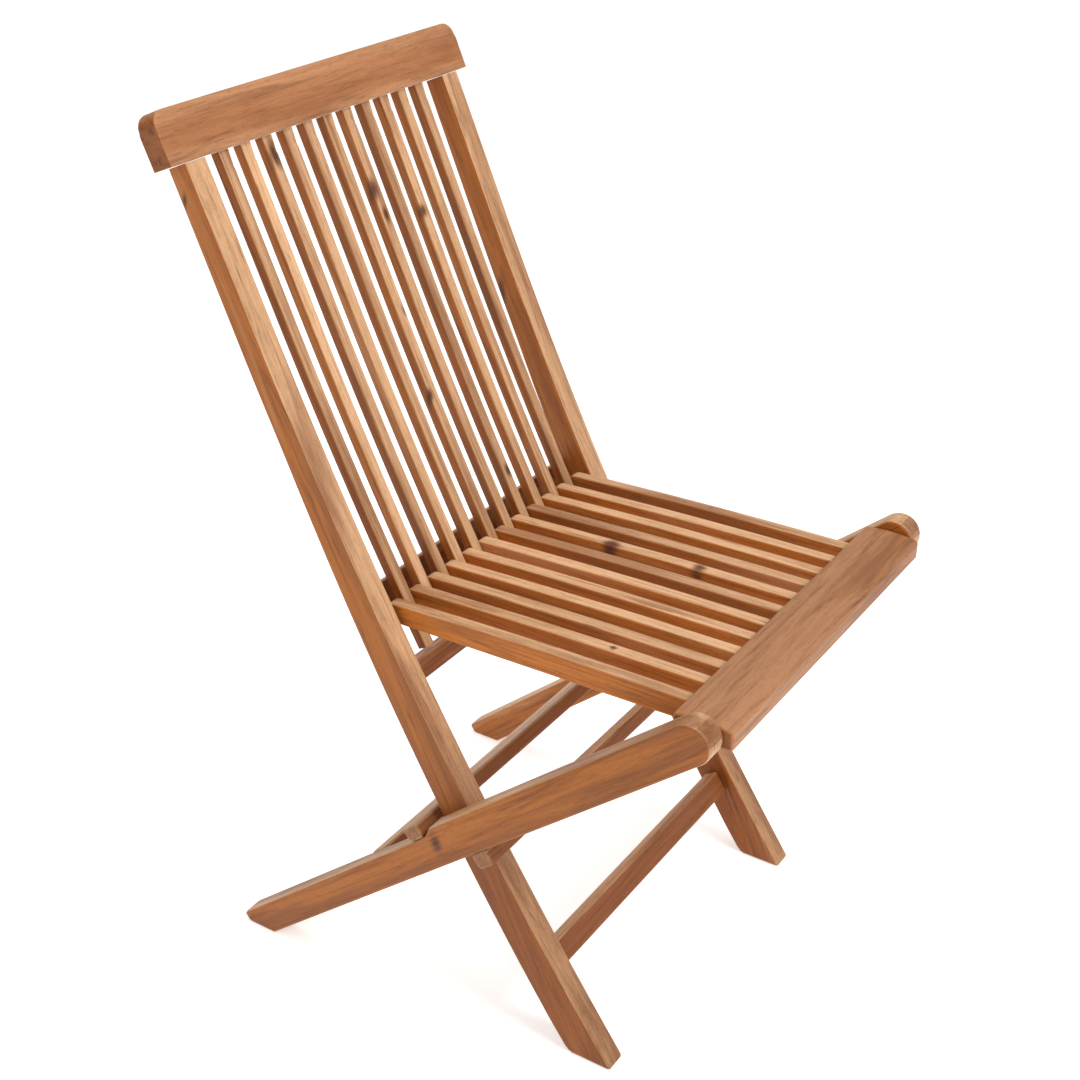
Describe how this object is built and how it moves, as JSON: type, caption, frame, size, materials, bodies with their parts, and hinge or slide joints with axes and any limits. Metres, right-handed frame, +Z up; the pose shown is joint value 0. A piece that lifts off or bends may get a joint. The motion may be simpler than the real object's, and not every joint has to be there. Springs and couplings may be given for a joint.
{
  "type": "folding chair",
  "caption": "Wooden folding chair with a slatted, gently curved back frame, a hinged slat seat and a crossed leg frame guided along the back frame.",
  "frame": {"origin": "on the floor, at the middle of the open chair's width and depth", "axes": "+Z up, -Y towards the front of the seat, +X to the sitter's left"},
  "size_m": [0.452, 0.6014, 0.8859],
  "materials": {
    "beech_stile": "satin",
    "beech_rail": "satin",
    "beech_slat": "satin",
    "beech_leg": "satin",
    "beech_bar": "satin",
    "zinc_steel": "satin"
  },
  "bodies": {
    "back_frame": {"stile_left": "beech_stile", "stile_right": "beech_stile", "top_rail": "beech_rail", "back_slat_01": "beech_slat", "back_slat_02": "beech_slat", "back_slat_03": "beech_slat", "back_slat_04": "beech_slat", "back_slat_05": "beech_slat", "back_slat_06": "beech_slat", "back_slat_07": "beech_slat", "back_slat_08": "beech_slat", "back_slat_09": "beech_slat", "back_slat_10": "beech_slat", "back_slat_11": "beech_slat", "back_lower_rail": "beech_bar", "back_tie_rail": "beech_bar", "front_stretcher": "beech_bar", "hinge_rod": "zinc_steel"},
    "seat": {"seat_slat_01": "beech_slat", "seat_slat_02": "beech_slat", "seat_slat_03": "beech_slat", "seat_slat_04": "beech_slat", "seat_slat_05": "beech_slat", "seat_slat_06": "beech_slat", "seat_slat_07": "beech_slat", "seat_slat_08": "beech_slat", "seat_slat_09": "beech_slat", "seat_slat_10": "beech_slat", "seat_slat_11": "beech_slat", "seat_slat_12": "beech_slat", "seat_front_rail": "beech_rail"},
    "pivot_pins": {"pivot_pin_left": "zinc_steel", "pivot_pin_right": "zinc_steel"},
    "leg_frame": {"leg_left": "beech_leg", "leg_right": "beech_leg", "front_guide_bar": "beech_bar", "rear_guide_bar": "beech_bar", "rear_stretcher": "beech_bar"}
  },
  "joints": [
    {"name": "seat_fold", "type": "hinge", "parent": "back_frame", "child": "seat", "pos_m": [0, 0.08295, 0.4255], "axis": [-1, 0, 0], "range_deg": [0, 98]},
    {"name": "pivot_travel", "type": "hinge", "parent": "back_frame", "child": "pivot_pins", "pos_m": [0, 0.57406, -0.21783], "axis": [-1, 0, 0], "range_deg": [0, 28.9]},
    {"name": "leg_swing", "type": "hinge", "parent": "pivot_pins", "child": "leg_frame", "pos_m": [0, -0.27202, 0.4481], "axis": [-1, 0, 0], "range_deg": [0, 30.65]}
  ],
  "couplings": [
    {"joint": "pivot_travel", "follows": "seat_fold", "ratio": 0.29463},
    {"joint": "leg_swing", "follows": "seat_fold", "ratio": 0.31251}
  ]
}
